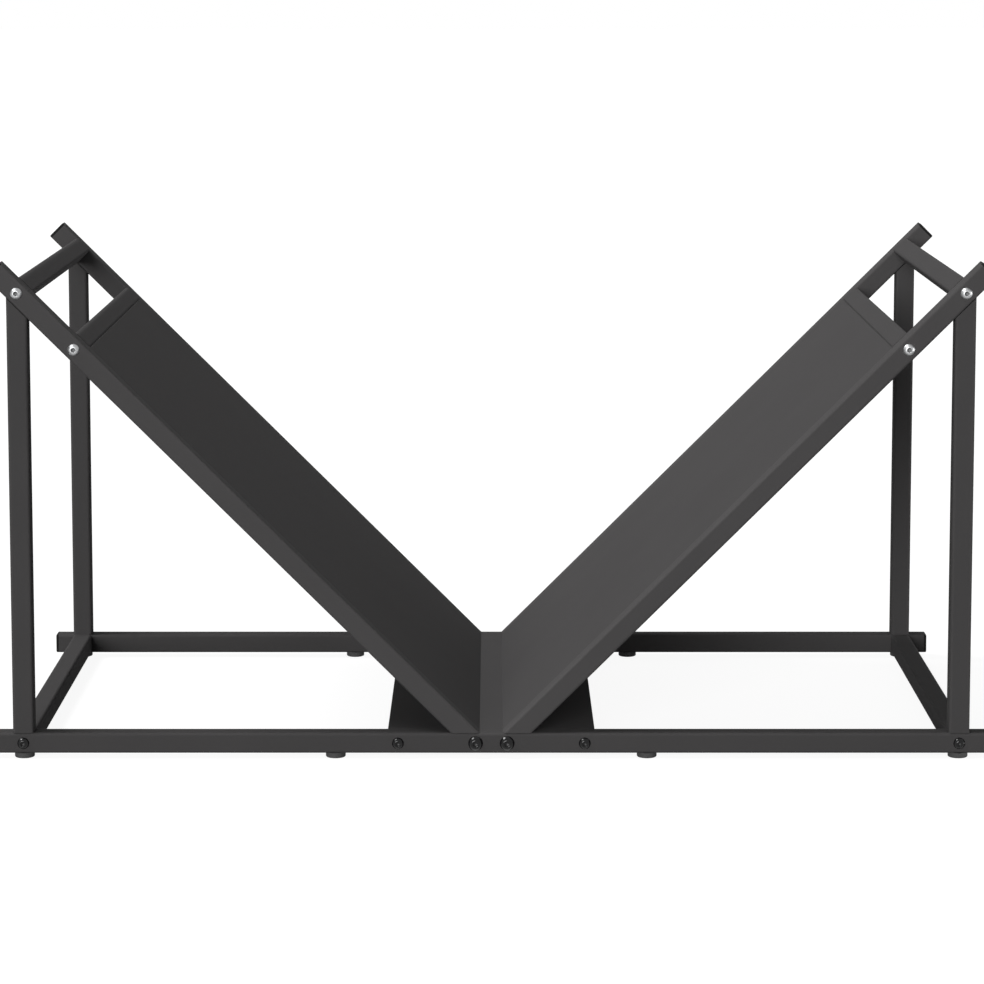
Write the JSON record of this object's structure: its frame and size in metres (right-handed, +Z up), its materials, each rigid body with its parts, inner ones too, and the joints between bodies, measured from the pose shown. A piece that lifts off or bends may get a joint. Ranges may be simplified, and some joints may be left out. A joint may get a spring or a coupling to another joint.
{
  "type": "firewood rack",
  "caption": "V-shaped firewood rack of black powder-coated square steel tube, with sloping sheet panels between its arms, bolted cross tubes, plastic end caps and round feet.",
  "frame": {"origin": "on the floor, under the middle of the rack", "axes": "+X along the rails to the right, +Y from the front frame to the rear frame, +Z up"},
  "size_m": [1.2, 0.611, 0.5998],
  "materials": {
    "black_powder_coat": "fine-textured matt black powder coat",
    "black_plastic": "moulded black plastic, lightly grained",
    "silver_steel": "bright zinc-plated steel",
    "black_bolt_steel": "black-plated steel, satin",
    "plain_steel": "bare machined steel"
  },
  "bodies": {
    "root": {"arm_bolts": "silver_steel", "arm_cross_tube_blocks": "plain_steel", "base_cross_tube_blocks": "plain_steel", "base_plate": "black_powder_coat", "beam_bolts": "black_bolt_steel", "centre_beam": "black_powder_coat", "centre_beam_blocks": "plain_steel", "front_foot_1": "black_plastic", "front_foot_2": "black_plastic", "front_foot_3": "black_plastic", "front_foot_4": "black_plastic", "front_left_arm": "black_powder_coat", "front_left_arm_cap": "black_plastic", "front_left_post": "black_powder_coat", "front_left_rail_cap": "black_plastic", "front_rail": "black_powder_coat", "front_right_arm": "black_powder_coat", "front_right_arm_cap": "black_plastic", "front_right_post": "black_powder_coat", "front_right_rail_cap": "black_plastic", "left_base_cross_tube": "black_powder_coat", "left_panel": "black_powder_coat", "left_plate_cross_tube": "black_powder_coat", "left_top_cross_tube": "black_powder_coat", "left_window_cross_tube": "black_powder_coat", "plate_cross_tube_blocks": "plain_steel", "rail_bolts": "black_bolt_steel", "rear_foot_1": "black_plastic", "rear_foot_2": "black_plastic", "rear_foot_3": "black_plastic", "rear_foot_4": "black_plastic", "rear_left_arm": "black_powder_coat", "rear_left_arm_cap": "black_plastic", "rear_left_post": "black_powder_coat", "rear_left_rail_cap": "black_plastic", "rear_rail": "black_powder_coat", "rear_right_arm": "black_powder_coat", "rear_right_arm_cap": "black_plastic", "rear_right_post": "black_powder_coat", "rear_right_rail_cap": "black_plastic", "right_base_cross_tube": "black_powder_coat", "right_panel": "black_powder_coat", "right_plate_cross_tube": "black_powder_coat", "right_top_cross_tube": "black_powder_coat", "right_window_cross_tube": "black_powder_coat"}
  },
  "joints": []
}
